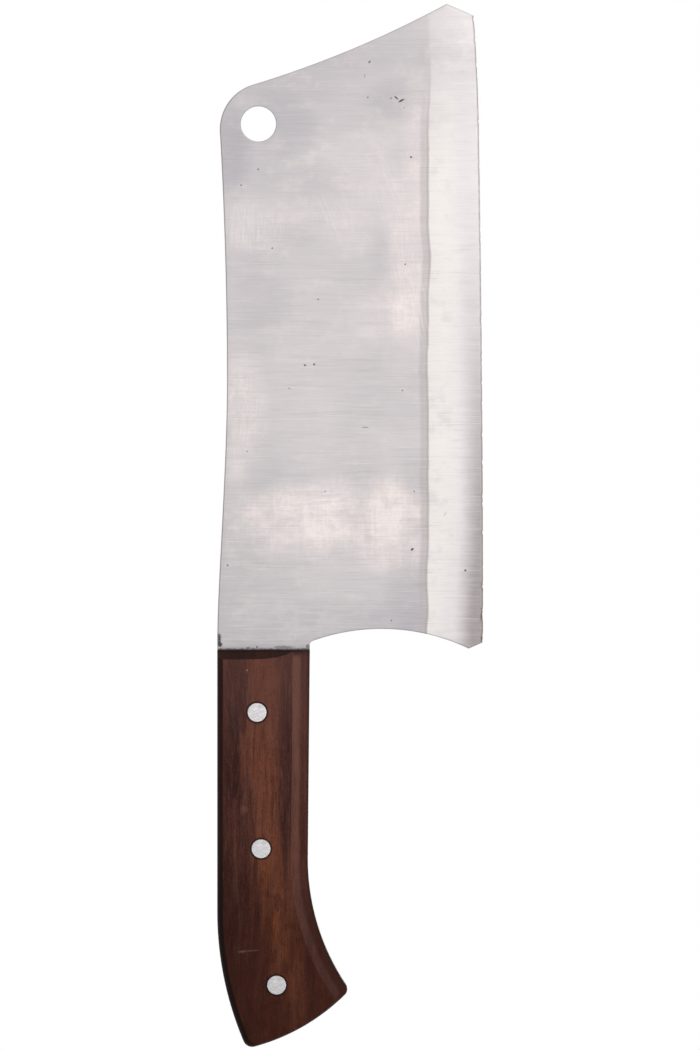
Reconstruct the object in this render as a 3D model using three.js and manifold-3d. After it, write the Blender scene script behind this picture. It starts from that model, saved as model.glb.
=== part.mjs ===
// A heavy meat cleaver in millimetres: a ground steel blade with a full-width tang, two wooden scales and
// three two-piece rivets. It is drawn lying flat, with X towards the cutting edge, Y from the butt to the tip
// and Z out of the front face, all measured from the corner where the spine meets the front of the handle.
// At the end it is stood up with the tip along +Z and the front face along -Y, and the hanging hole becomes
// the origin.

import * as THREE from "three";
import { mergeVertices } from "three/addons/utils/BufferGeometryUtils.js";
import Module from "manifold-3d";

const wasm = await Module();
wasm.setup();

// Blade plate
const bladeLength = 228.6; // front of the handle to the tip
const bladeWidth = 94; // spine to the heel of the cutting edge
const bladeThickness = 4.5;
const bladeEase = 0.4; // broken corners all round the plate

// Spine of the blade, straight by the handle and hollow above
const spineStraight = 4.8;
const hollowDepth = 3.4;
const hollowHeight = 95; // deepest point of the hollow, above the handle
const hollowLeadIn = 18; // how long the curve keeps the line of the handle
const hollowLeadOut = 30; // how long it runs level at the deepest point
const hollowRadius = 1550; // from the deepest point up to the corner

// Top of the blade
const cornerHeight = 196.4; // where the top edge would meet the line of the spine
const cornerRadius = 16.5;
const topEdgeRadius = 371.6;
const tipSetback = 12.9; // from the heel line back to the tip
const toeSetback = 3.3;
const toeDrop = 4.2; // from the tip down to the toe of the cutting edge

// Cutting edge, nearly straight and then swept back to the toe
const edgeRadius = 10000;
const edgeTaper = 1.4; // how far the edge leans in where the sweep starts
const toeSweep = 46;
const toeSweepRadius = 725;

// Heel and choil, the hollow between the heel and the handle
const heelSetback = 5.1;
const heelRise = 0.45; // lowest point of the heel above the front of the handle
const heelChamferRise = 2.25; // from there up to the cutting edge
const neckRise = 2.8;
const neckFillet = 1.5;
const choilRadius = 71.7;

// Grind, the same on both sides
const grindWidth = 19.3; // heel line back to the grind line
const grindBulge = 0.1; // roundness of the ground face
const finalBevelWidth = 0.8;
const shoulderThickness = 0.9; // where the final bevel starts
const edgeThickness = 0.2;

// Hanging hole
const holeDiameter = 12.5;
const holeFromSpine = 14.5;
const holeBelowCorner = 10.3;

// Handle outline, shared by the tang and both scales
const handleLength = 140.8;
const handleWidth = 32.7; // at the front
const waistWidth = 32; // where the belly starts to flare
const spineSweep = 48.3; // length of the curved tail on the spine side
const spineSweepRadius = 117;
const bellySweep = 66.8;
const bellySweepRadius = 80;
const toeRise = 20.6; // height of the flared corner above the lowest one
const buttRadius = 72;
const buttCornerRadius = 3.3;
const toeCornerRadius = 2.6;
const tangLap = 3; // how far the eased plate runs into the square-edged tang

// Scales
const scaleThickness = 8.5;
const shoulderDrop = 3; // height of the rounded shoulder
const spineRound = 2.2;
const bellyBevel = 6;
const bellyBevelCurve = 1.6; // 1 is a flat bevel, more is rounder towards the side
const buttRound = 1;
const frontChamfer = 2.6; // at the spine end
const chamferRunOut = 0.15; // share of it left at the belly end
const crownWidth = 4.5; // gentle slope between the shoulder and the flat
const crownRise = 0.3;

// Rivets
const rivetHeadDiameter = 6.75;
const rivetHeadThickness = 1.6;
const sleeveDiameter = 4.8;
const postDiameter = 3.2;
const firstRivetSetback = 22; // from the front of the handle
const lastRivetSetback = 22.5; // from the end of the butt
const rivetFromSpine = { upper: 14.1, middle: 15.5, lower: 21 };
const headClearance = 0.08; // radial
const shankClearance = 0.1; // radial, in wood and steel
const postClearance = 0.08; // radial, inside the sleeve
const endClearance = 0.5; // at the blind end of each shank

// Fineness of curves
const chordError = 0.02;
const roundSegments = 32;
const shoulderSteps = 5;
const frontSteps = 8; // along the front of a scale
const grindSteps = 3;
const overcut = 4; // how far cutters run past what they cut

const halfBlade = bladeThickness / 2;
const halfHandle = halfBlade + scaleThickness;

const point = (x, y) => new THREE.Vector2(x, y);
const line = (from, to) => new THREE.LineCurve(from, to);

function arc(centre, from, to, clockwise = false) {
  const start = from.clone().sub(centre);
  const end = to.clone().sub(centre);
  const radius = start.length();
  return new THREE.EllipseCurve(centre.x, centre.y, radius, radius, start.angle(), end.angle(), clockwise);
}

// Centre of the circle through two points, to the left of the way from one to the other.
function centreOnLeft(from, to, radius) {
  const half = to.clone().sub(from).multiplyScalar(0.5);
  const rise = Math.sqrt(radius ** 2 - half.lengthSq());
  return point(-half.y, half.x).setLength(rise).add(from).add(half);
}

// Where two circles meet, to the left of the way from the first centre to the second.
function circlesMeet(first, firstRadius, second, secondRadius) {
  const way = second.clone().sub(first);
  const along = (firstRadius ** 2 - secondRadius ** 2 + way.lengthSq()) / (2 * way.length());
  const across = Math.sqrt(firstRadius ** 2 - along ** 2);
  way.normalize();
  return point(-way.y, way.x).multiplyScalar(across).addScaledVector(way, along).add(first);
}

const towards = (from, to, distance) => to.clone().sub(from).setLength(distance).add(from);

function stepsFor(curve) {
  if (curve.isLineCurve) return 1;
  const length = curve.getLength();
  const turn = curve.getTangent(0).angleTo(curve.getTangent(1));
  return Math.max(3, Math.ceil(Math.sqrt((length * turn) / (8 * chordError))));
}

// Corner points of a closed run of curves, with each curve's last point left to the next one.
const ringOf = (curves, steps = curves.map(stepsFor)) =>
  curves.flatMap((curve, index) => curve.getPoints(steps[index]).slice(0, -1));

function solid(geometry) {
  const bare = geometry.clone();
  bare.deleteAttribute("normal");
  bare.deleteAttribute("uv");
  const merged = mergeVertices(bare, 1e-4);
  return new wasm.Manifold(
    new wasm.Mesh({
      numProp: 3,
      vertProperties: new Float32Array(merged.attributes.position.array),
      triVerts: new Uint32Array(merged.index.array),
    }),
  );
}

function geometryOf(manifold) {
  const mesh = manifold.getMesh();
  const geometry = new THREE.BufferGeometry();
  geometry.setAttribute("position", new THREE.BufferAttribute(new Float32Array(mesh.vertProperties), 3));
  geometry.setIndex(new THREE.BufferAttribute(new Uint32Array(mesh.triVerts), 1));
  return geometry;
}

// Closed solid through rings of equally many points, each an anticlockwise ring at its own level.
function loft(rings, levels, place) {
  const count = rings[0].length;
  const placed = rings.flatMap((ring, row) => ring.map((corner) => place(corner, levels[row])));
  const corners = placed.flatMap((corner) => corner.toArray());
  const faces = [];
  for (let row = 0; row + 1 < rings.length; row += 1) {
    for (let column = 0; column < count; column += 1) {
      const next = (column + 1) % count;
      const [a, b] = [row * count + column, row * count + next];
      faces.push(a, b, b + count, a, b + count, a + count);
    }
  }
  const top = (rings.length - 1) * count;
  for (const [a, b, c] of THREE.ShapeUtils.triangulateShape(rings[0], [])) faces.push(c, b, a);
  for (const [a, b, c] of THREE.ShapeUtils.triangulateShape(rings.at(-1), [])) {
    faces.push(top + a, top + b, top + c);
  }
  const geometry = new THREE.BufferGeometry();
  geometry.setAttribute("position", new THREE.Float32BufferAttribute(corners, 3));
  geometry.setIndex(faces);
  return geometry;
}

function cylinder(centre, radius, bottom, top) {
  const geometry = new THREE.CylinderGeometry(radius, radius, top - bottom, roundSegments);
  return solid(geometry.rotateX(Math.PI / 2).translate(centre.x, centre.y, (bottom + top) / 2));
}

// Handle outline drawn in from each side by its own inset, anticlockwise from the spine end of the front.
// The front has an inset for each of its ends and keeps the spine one for most of its width.
function handleOutline({ spine = 0, belly = 0, butt = 0, front = 0, frontByBelly = 0 }) {
  const spineStart = point(0, spineSweep - handleLength);
  const bellyStart = point(waistWidth, bellySweep - handleLength);
  const spineCentre = point(spineSweepRadius, spineStart.y);
  const bellyCentre = point(waistWidth + bellySweepRadius, bellyStart.y);
  const spineReturn = Math.sqrt(spineSweepRadius ** 2 - spineSweep ** 2);
  const lowCorner = point(spineCentre.x - spineReturn, -handleLength);
  const bellyReturn = Math.sqrt(bellySweepRadius ** 2 - (bellySweep - toeRise) ** 2);
  const toeCorner = point(bellyCentre.x - bellyReturn, toeRise - handleLength);
  const buttCentre = centreOnLeft(lowCorner, toeCorner, buttRadius);

  const spineReach = spineSweepRadius - spine;
  const bellyReach = bellySweepRadius + belly;
  const buttReach = buttRadius - butt;
  const lowRound = circlesMeet(
    spineCentre,
    spineReach - buttCornerRadius,
    buttCentre,
    buttReach - buttCornerRadius,
  );
  const toeRound = circlesMeet(
    bellyCentre,
    bellyReach + toeCornerRadius,
    buttCentre,
    buttReach - toeCornerRadius,
  );
  const onSpine = towards(spineCentre, lowRound, spineReach);
  const onButtLow = towards(buttCentre, lowRound, buttReach);
  const onButtToe = towards(buttCentre, toeRound, buttReach);
  const onBelly = towards(bellyCentre, toeRound, bellyReach);
  const spineTop = point(spine, -front);
  const spineEnd = point(spine, spineStart.y);
  const bellyEnd = point(waistWidth - belly, bellyStart.y);
  const bellyTop = point(handleWidth - belly, -frontByBelly);
  const frontWay = bellyTop.x - spineTop.x;
  const nearBelly = point(spineTop.x + (frontWay * 2) / 3, -front);
  const nearSpine = point(spineTop.x + frontWay / 3, -front);
  return [
    line(spineTop, spineEnd),
    arc(spineCentre, spineEnd, onSpine),
    arc(lowRound, onSpine, onButtLow),
    arc(buttCentre, onButtLow, onButtToe),
    arc(toeRound, onButtToe, onBelly),
    arc(bellyCentre, onBelly, bellyEnd, true),
    line(bellyEnd, bellyTop),
    new THREE.CubicBezierCurve(bellyTop, nearBelly, nearSpine, spineTop),
  ];
}

const handleSteps = handleOutline({}).map(stepsFor).with(-1, frontSteps);

// Corners of the blade outline that its curves share.
const heelLow = point(bladeWidth - heelSetback, heelRise);
const heel = point(bladeWidth, heelRise + heelChamferRise);
const toe = point(bladeWidth - toeSetback, bladeLength - toeDrop);
const tip = point(bladeWidth - tipSetback, bladeLength);
const sweepStart = point(bladeWidth - edgeTaper, toe.y - toeSweep);
const holeCentre = point(holeFromSpine, cornerHeight - holeBelowCorner);

const cuttingEdge = [
  arc(centreOnLeft(heel, sweepStart, edgeRadius), heel, sweepStart),
  arc(centreOnLeft(sweepStart, toe, toeSweepRadius), sweepStart, toe),
];

function bladeOutline() {
  const deepest = point(hollowDepth, hollowHeight);
  const hollowCentre = point(hollowDepth - hollowRadius, hollowHeight);
  const topCentre = centreOnLeft(point(0, cornerHeight), tip, topEdgeRadius);
  const corner = circlesMeet(
    topCentre,
    topEdgeRadius + cornerRadius,
    hollowCentre,
    hollowRadius + cornerRadius,
  );
  const cornerOnTop = towards(topCentre, corner, topEdgeRadius);
  const cornerOnSpine = towards(hollowCentre, corner, hollowRadius);

  const choilCentre = centreOnLeft(heelLow, point(handleWidth, neckRise), choilRadius);
  const filletX = handleWidth + neckFillet;
  const filletRise = Math.sqrt((choilRadius - neckFillet) ** 2 - (filletX - choilCentre.x) ** 2);
  const fillet = point(filletX, choilCentre.y + filletRise);
  const filletOnNeck = point(handleWidth, fillet.y);
  const filletOnChoil = towards(choilCentre, fillet, choilRadius);

  const straightEnd = point(0, spineStraight);
  const tangSpine = point(0, -tangLap);
  const tangBelly = point(handleWidth, -tangLap);
  const leadOut = point(hollowDepth, hollowHeight - hollowLeadOut);
  const leadIn = point(0, spineStraight + hollowLeadIn);
  return [
    arc(corner, cornerOnTop, cornerOnSpine),
    arc(hollowCentre, cornerOnSpine, deepest, true),
    new THREE.CubicBezierCurve(deepest, leadOut, leadIn, straightEnd),
    line(straightEnd, tangSpine),
    line(tangSpine, tangBelly),
    line(tangBelly, filletOnNeck),
    arc(fillet, filletOnNeck, filletOnChoil, true),
    arc(choilCentre, filletOnChoil, heelLow, true),
    line(heelLow, heel),
    ...cuttingEdge,
    line(toe, tip),
    arc(topCentre, tip, cornerOnTop, true),
  ];
}

// One side's grinding pass, swept from the heel to the toe and on past both. The section lies across the
// blade.
function grindCutter(side) {
  const grindLine = bladeWidth - grindWidth;
  const stations = ringOf(cuttingEdge).concat(toe);
  stations.unshift(point(heel.x, heel.y - overcut - heelChamferRise));
  stations.push(point(toe.x, bladeLength + overcut));
  const rings = stations.map((station) => {
    const shoulder = point(station.x - finalBevelWidth, shoulderThickness / 2);
    const start = point(grindLine, halfBlade);
    const face = [];
    for (let step = 0; step <= grindSteps; step += 1) {
      const share = step / grindSteps;
      const bulge = 4 * grindBulge * share * (1 - share);
      face.push(start.clone().lerp(shoulder, share).add(point(0, bulge)));
    }
    const before = face[0].clone().sub(face[1]).add(face[0]);
    const outside = station.x + overcut;
    const ring = [
      before,
      ...face.slice(1),
      point(station.x, edgeThickness / 2),
      point(outside, edgeThickness / 2),
      point(outside, halfBlade + overcut),
      point(before.x, halfBlade + overcut),
    ];
    return side > 0 ? ring : ring.map((corner) => point(corner.x, -corner.y)).reverse();
  });
  // The section's plane is turned to face along the blade, which swaps its hand, so the sweep runs from the
  // toe to the heel.
  const levels = stations.map((station) => station.y);
  const across = (corner, level) => new THREE.Vector3(corner.x, level, corner.y);
  return solid(loft(rings.reverse(), levels.reverse(), across));
}

const rivets = Object.entries(rivetFromSpine).map(([name, fromSpine], index, all) => {
  const first = -firstRivetSetback;
  const last = lastRivetSetback - handleLength;
  return { name, centre: point(fromSpine, THREE.MathUtils.lerp(first, last, index / (all.length - 1))) };
});

function bladeGeometry() {
  const plateShape = new THREE.Shape(ringOf(bladeOutline()));
  const hole = new THREE.Path().absarc(holeCentre.x, holeCentre.y, holeDiameter / 2, 0, 2 * Math.PI, true);
  plateShape.holes.push(hole);
  const plate = new THREE.ExtrudeGeometry(plateShape, {
    depth: bladeThickness - 2 * bladeEase,
    bevelSize: bladeEase,
    bevelOffset: -bladeEase,
    bevelThickness: bladeEase,
    bevelSegments: 1,
    curveSegments: roundSegments,
  });
  plate.translate(0, 0, bladeEase - halfBlade);
  const tangShape = new THREE.Shape(ringOf(handleOutline({}), handleSteps));
  const tang = new THREE.ExtrudeGeometry(tangShape, { depth: bladeThickness, bevelEnabled: false });
  tang.translate(0, 0, -halfBlade);
  let body = solid(plate).add(solid(tang));
  for (const { centre } of rivets) {
    const radius = sleeveDiameter / 2 + shankClearance;
    body = body.subtract(cylinder(centre, radius, -halfBlade - overcut, halfBlade + overcut));
  }
  for (const side of [1, -1]) body = body.subtract(grindCutter(side));
  return geometryOf(body);
}

// The front scale. Its rings climb from the tang up the side wall, over the shoulder and onto the crown.
function scaleGeometry() {
  const wall = scaleThickness - crownRise - shoulderDrop;
  const insets = [{}];
  const levels = [0];
  for (let step = 0; step <= shoulderSteps; step += 1) {
    const rise = Math.sin((step / shoulderSteps) * (Math.PI / 2));
    const round = 1 - Math.sqrt(1 - rise ** 2);
    levels.push(wall + shoulderDrop * rise);
    insets.push({
      spine: spineRound * round,
      belly: bellyBevel * rise ** bellyBevelCurve,
      butt: buttRound * round,
      front: frontChamfer * rise,
      frontByBelly: frontChamfer * chamferRunOut * rise,
    });
  }
  levels.push(scaleThickness);
  insets.push({
    spine: spineRound + crownWidth,
    belly: bellyBevel + crownWidth,
    butt: buttRound + crownWidth,
    front: frontChamfer + crownWidth,
    frontByBelly: frontChamfer * chamferRunOut + crownWidth,
  });
  const rings = insets.map((inset) => ringOf(handleOutline(inset), handleSteps));
  const onTang = (corner, level) => new THREE.Vector3(corner.x, corner.y, halfBlade + level);
  let body = solid(loft(rings, levels, onTang));
  for (const { centre } of rivets) {
    const seat = halfHandle - rivetHeadThickness;
    const head = cylinder(centre, rivetHeadDiameter / 2 + headClearance, seat, halfHandle + overcut);
    const shank = cylinder(centre, sleeveDiameter / 2 + shankClearance, 0, seat + overcut);
    body = body.subtract(head).subtract(shank);
  }
  return geometryOf(body);
}

// A body turned about the rivet's axis, from pairs of radius and height.
function turned(profile) {
  const corners = profile.map(([radius, height]) => point(radius, height));
  const geometry = new THREE.LatheGeometry(corners, roundSegments);
  return geometryOf(solid(geometry.rotateX(Math.PI / 2)));
}

const seatHeight = halfHandle - rivetHeadThickness;

// Tubular half, its head on the front scale and its bore open to the back.
function sleeveGeometry() {
  const bore = postDiameter / 2 + postClearance;
  const end = endClearance - seatHeight;
  return turned([
    [0, seatHeight],
    [bore, seatHeight],
    [bore, end],
    [sleeveDiameter / 2, end],
    [sleeveDiameter / 2, seatHeight],
    [rivetHeadDiameter / 2, seatHeight],
    [rivetHeadDiameter / 2, halfHandle],
    [0, halfHandle],
  ]);
}

// Solid half, its head on the back scale and its shank inside the sleeve.
function postGeometry() {
  const end = seatHeight - endClearance;
  return turned([
    [0, -halfHandle],
    [rivetHeadDiameter / 2, -halfHandle],
    [rivetHeadDiameter / 2, -seatHeight],
    [postDiameter / 2, -seatHeight],
    [postDiameter / 2, end],
    [0, end],
  ]);
}

const satinSteel = { color: 0xc8c4c4, roughness: 0.42, metalness: 1 };
const darkWood = { color: 0x4b2c22, roughness: 0.55, metalness: 0 };
const paleMetal = { color: 0xd6d4d5, roughness: 0.4, metalness: 1 };

function piece(name, geometry, look) {
  const mesh = new THREE.Mesh(geometry, new THREE.MeshStandardMaterial(look));
  mesh.name = name;
  return mesh;
}

const frontScale = piece("front_scale", scaleGeometry(), darkWood);
const backScale = piece("back_scale", frontScale.geometry, darkWood);
backScale.scale.z = -1;

const cleaver = new THREE.Group();
cleaver.name = "cleaver";
cleaver.add(piece("blade", bladeGeometry(), satinSteel), frontScale, backScale);
for (const { name, centre } of rivets) {
  const sleeve = piece(`${name}_rivet_sleeve`, sleeveGeometry(), paleMetal);
  const post = piece(`${name}_rivet_post`, postGeometry(), paleMetal);
  for (const half of [sleeve, post]) half.position.set(centre.x, centre.y, 0);
  cleaver.add(sleeve, post);
}

cleaver.rotation.x = Math.PI / 2;
cleaver.position.set(-holeCentre.x, 0, -holeCentre.y);

export default cleaver;
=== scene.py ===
import math
import random

import bpy
import numpy as np
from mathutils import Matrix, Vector, noise
from mathutils.geometry import delaunay_2d_cdt


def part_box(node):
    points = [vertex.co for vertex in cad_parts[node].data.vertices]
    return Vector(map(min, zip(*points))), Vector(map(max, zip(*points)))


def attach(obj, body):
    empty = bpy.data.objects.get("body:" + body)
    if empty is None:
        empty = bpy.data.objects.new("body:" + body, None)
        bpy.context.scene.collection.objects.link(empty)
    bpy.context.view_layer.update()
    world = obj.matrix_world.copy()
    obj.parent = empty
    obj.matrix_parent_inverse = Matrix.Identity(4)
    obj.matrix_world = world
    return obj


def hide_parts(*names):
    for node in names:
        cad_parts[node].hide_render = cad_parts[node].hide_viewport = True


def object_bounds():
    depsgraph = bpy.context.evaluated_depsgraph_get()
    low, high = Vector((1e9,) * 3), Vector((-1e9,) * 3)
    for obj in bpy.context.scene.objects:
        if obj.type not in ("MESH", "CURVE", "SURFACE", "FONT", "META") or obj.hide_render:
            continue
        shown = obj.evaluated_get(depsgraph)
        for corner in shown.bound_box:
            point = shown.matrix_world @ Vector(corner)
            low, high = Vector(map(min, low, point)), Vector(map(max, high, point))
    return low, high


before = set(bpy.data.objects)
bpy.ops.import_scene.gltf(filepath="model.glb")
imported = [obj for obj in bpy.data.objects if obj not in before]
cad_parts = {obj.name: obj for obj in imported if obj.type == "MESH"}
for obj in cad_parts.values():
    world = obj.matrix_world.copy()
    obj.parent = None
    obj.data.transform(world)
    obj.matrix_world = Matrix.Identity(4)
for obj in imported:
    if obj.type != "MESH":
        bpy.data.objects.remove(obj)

cadLow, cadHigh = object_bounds()
mm = 0.001
print("frame loaded:", sorted(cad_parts))

# Everything is drawn flat in mm: x from the spine to the edge, z up from the front of the handle, and depth
# out of the front face. place() puts it into the frame: the hanging hole is the origin, and -Y the front.
hanging = {"fromSpine": 14.5, "aboveHandle": 186.1, "radius": 6.25, "ease": 0.3, "steps": 72}
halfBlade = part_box("blade")[1].y / mm
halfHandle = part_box("back_scale")[1].y / mm
unit = mm * 0.99999  # a few thousandths of a mm inside the box of the solids


def place(x, depth, z):
    return ((x - hanging["fromSpine"]) * unit, -depth * unit, (z - hanging["aboveHandle"]) * unit)


def srgb(red, green, blue):
    levels = [level / 255 for level in (red, green, blue)]
    linear = [c / 12.92 if c <= 0.04045 else ((c + 0.055) / 1.055) ** 2.4 for c in levels]
    return (*linear, 1.0)


# Plane geometry


def centreOnLeft(start, end, radius):
    half = (end - start) / 2
    rise = math.sqrt(radius ** 2 - half.length_squared)
    return start + half + Vector((-half.y, half.x)).normalized() * rise


def circlesMeet(first, firstRadius, second, secondRadius):
    way = second - first
    along = (firstRadius ** 2 - secondRadius ** 2 + way.length_squared) / (2 * way.length)
    across = math.sqrt(firstRadius ** 2 - along ** 2)
    way.normalize()
    return first + way * along + Vector((-way.y, way.x)) * across


def towards(start, end, distance):
    return start + (end - start).normalized() * distance


def linePoints(start, end, step):
    count = max(1, round((end - start).length / step))
    return [start.lerp(end, i / count) for i in range(count)]


def arcPoints(centre, start, end, step, clockwise=False):
    radius = (start - centre).length
    first = math.atan2(start.y - centre.y, start.x - centre.x)
    last = math.atan2(end.y - centre.y, end.x - centre.x)
    turn = (last - first) % (2 * math.pi)
    if clockwise:
        turn -= 2 * math.pi
    count = max(2, round(abs(turn) * radius / step))
    angles = [first + turn * i / count for i in range(count)]
    return [centre + Vector((math.cos(a), math.sin(a))) * radius for a in angles]


def bezierPoints(a, b, c, d, count):
    points = []
    for i in range(count):
        t = i / count
        s = 1 - t
        points.append(a * s ** 3 + b * 3 * s * s * t + c * 3 * s * t * t + d * t ** 3)
    return points


def smooth(low, high, value):
    share = min(1.0, max(0.0, (value - low) / (high - low)))
    return share * share * (3 - 2 * share)


def drawnIn(ring, widths):  # each point moved into the shape by its own width
    moved = []
    for i, here in enumerate(ring):
        before = (here - ring[i - 1]).normalized()
        after = (ring[(i + 1) % len(ring)] - here).normalized()
        inward = Vector((-before.y - after.y, before.x + after.x)) / 2
        moved.append(here + inward * (widths[i] / max(inward.length_squared, 0.35)))
    return moved


def insideRing(points, ring):
    inside = np.zeros(len(points), bool)
    x, y = points[:, 0], points[:, 1]
    for (x0, y0), (x1, y1) in zip(ring, np.roll(ring, -1, axis=0)):
        if y0 != y1:
            crosses = (y0 > y) != (y1 > y)
            inside ^= crosses & (x < x0 + (x1 - x0) * (y - y0) / (y1 - y0))
    return inside


def ringDistance(points, ring):
    best = np.full(len(points), 1e9)
    for start, end in zip(ring, np.roll(ring, -1, axis=0)):
        way = end - start
        share = np.clip(((points - start) @ way) / max(way @ way, 1e-12), 0, 1)
        best = np.minimum(best, np.hypot(*(points - start - share[:, None] * way).T))
    return best


def innerPoints(columns, rows, outer, holes, margin):  # grid points well inside a face
    grid = np.array([(x, z) for x in columns for z in rows])
    keep = insideRing(grid, outer) & (ringDistance(grid, outer) > margin)
    for hole in holes:
        keep &= ~insideRing(grid, hole) & (ringDistance(grid, hole) > margin)
    return grid[keep]


def flatArray(ring):
    return np.array([(x, z) for x, _, z in ring])


def circleRing(centre, radius, steps):  # clockwise, so that the solid lies on its left
    angles = [-2 * math.pi * i / steps for i in range(steps)]
    return [centre + Vector((math.cos(a), math.sin(a))) * radius for a in angles]


# Meshes


def triangles(outer, holes, inner):
    rings = [[Vector(p) for p in ring] for ring in (outer, *holes)]
    corners = [p for ring in rings for p in ring] + [Vector(p) for p in inner]
    edges, start = [], 0
    for ring in rings:
        edges += [(start + i, start + (i + 1) % len(ring)) for i in range(len(ring))]
        start += len(ring)
    _, _, faces, origins, _, _ = delaunay_2d_cdt(corners, edges, [], 1, 1e-6)
    faces = [[origins[v][0] for v in face] for face in faces]
    centres = np.array([sum((corners[v] for v in face), Vector((0, 0))) / 3 for face in faces])
    keep = insideRing(centres, np.array(rings[0]))
    for hole in rings[1:]:
        keep &= ~insideRing(centres, np.array(hole))
    return [face for face, kept in zip(faces, keep) if kept]


# A solid between two faces. rings run from the front face to the back one, for the outside and for each hole.
def skinned(name, outer, holes, frontInner, frontDepth, backInner, backDepth, sharp, marks, mirrored=False):
    points, faces = [], []

    def add(ring):
        first = len(points)
        points.extend(place(*p) for p in ring)
        return list(range(first, first + len(ring)))

    indexed = [[add(ring) for ring in rings] for rings in (outer, *holes)]
    for rings in indexed:
        for near, far in zip(rings, rings[1:]):
            for i in range(len(near)):
                after = (i + 1) % len(near)
                faces.append((near[i], far[i], far[after], near[after]))
    for end, inner, depth in ((0, frontInner, frontDepth), (-1, backInner, backDepth)):
        lookUp = [v for rings in indexed for v in rings[end]]
        lookUp += add([(x, depth(x, z), z) for x, z in inner])
        for face in triangles(flatArray(outer[end]), [flatArray(rings[end]) for rings in holes], inner):
            faces.append(tuple(lookUp[v] for v in (face if end == 0 else face[::-1])))
    if mirrored:
        points = [(x, -y, z) for x, y, z in points]
        faces = [face[::-1] for face in faces]
    mesh = newMesh(name, points, faces)
    for markName, mark in marks.items():
        values = []
        for group, rings in enumerate((outer, *holes)):
            for level, ring in enumerate(rings):
                values += [float(mark(group, level, len(rings), i)) for i in range(len(ring))]
        layer = mesh.attributes.new(markName, "FLOAT", "POINT")
        layer.data.foreach_set("value", values + [0.0] * (len(points) - len(values)))
    return finished(name, mesh, sharp)


def newMesh(name, points, faces):
    mesh = bpy.data.meshes.new(name)
    mesh.from_pydata(points, [], faces)
    mesh.update()
    return mesh


def linked(name, data):
    made = bpy.data.objects.new(name, data)
    bpy.context.collection.objects.link(made)
    return made


def finished(name, mesh, sharp):
    mesh.shade_smooth()
    mesh.set_sharp_from_angle(angle=math.radians(sharp))
    return linked(name, mesh)


def dress(piece, node, material):
    piece.data.materials.append(material)
    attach(piece, "root")
    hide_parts(node)


# Shader sums: a socket that takes part in Python expressions, and one way to make any node


class Value:
    def __init__(self, shader, socket):
        self.shader = shader
        self.socket = socket

    def sum(self, operation, first, second):
        return self.shader.make("ShaderNodeMath", {"operation": operation}, {0: first, 1: second})

    def __add__(self, other):
        return self.sum("ADD", self, other)

    def __radd__(self, other):
        return self.sum("ADD", other, self)

    def __sub__(self, other):
        return self.sum("SUBTRACT", self, other)

    def __rsub__(self, other):
        return self.sum("SUBTRACT", other, self)

    def __mul__(self, other):
        return self.sum("MULTIPLY", self, other)

    def __rmul__(self, other):
        return self.sum("MULTIPLY", other, self)

    def __pow__(self, other):
        return self.sum("POWER", self, other)

    def above(self, other):
        return self.sum("MAXIMUM", self, other)

    def size(self):
        return self.sum("ABSOLUTE", self, 0)


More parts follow.
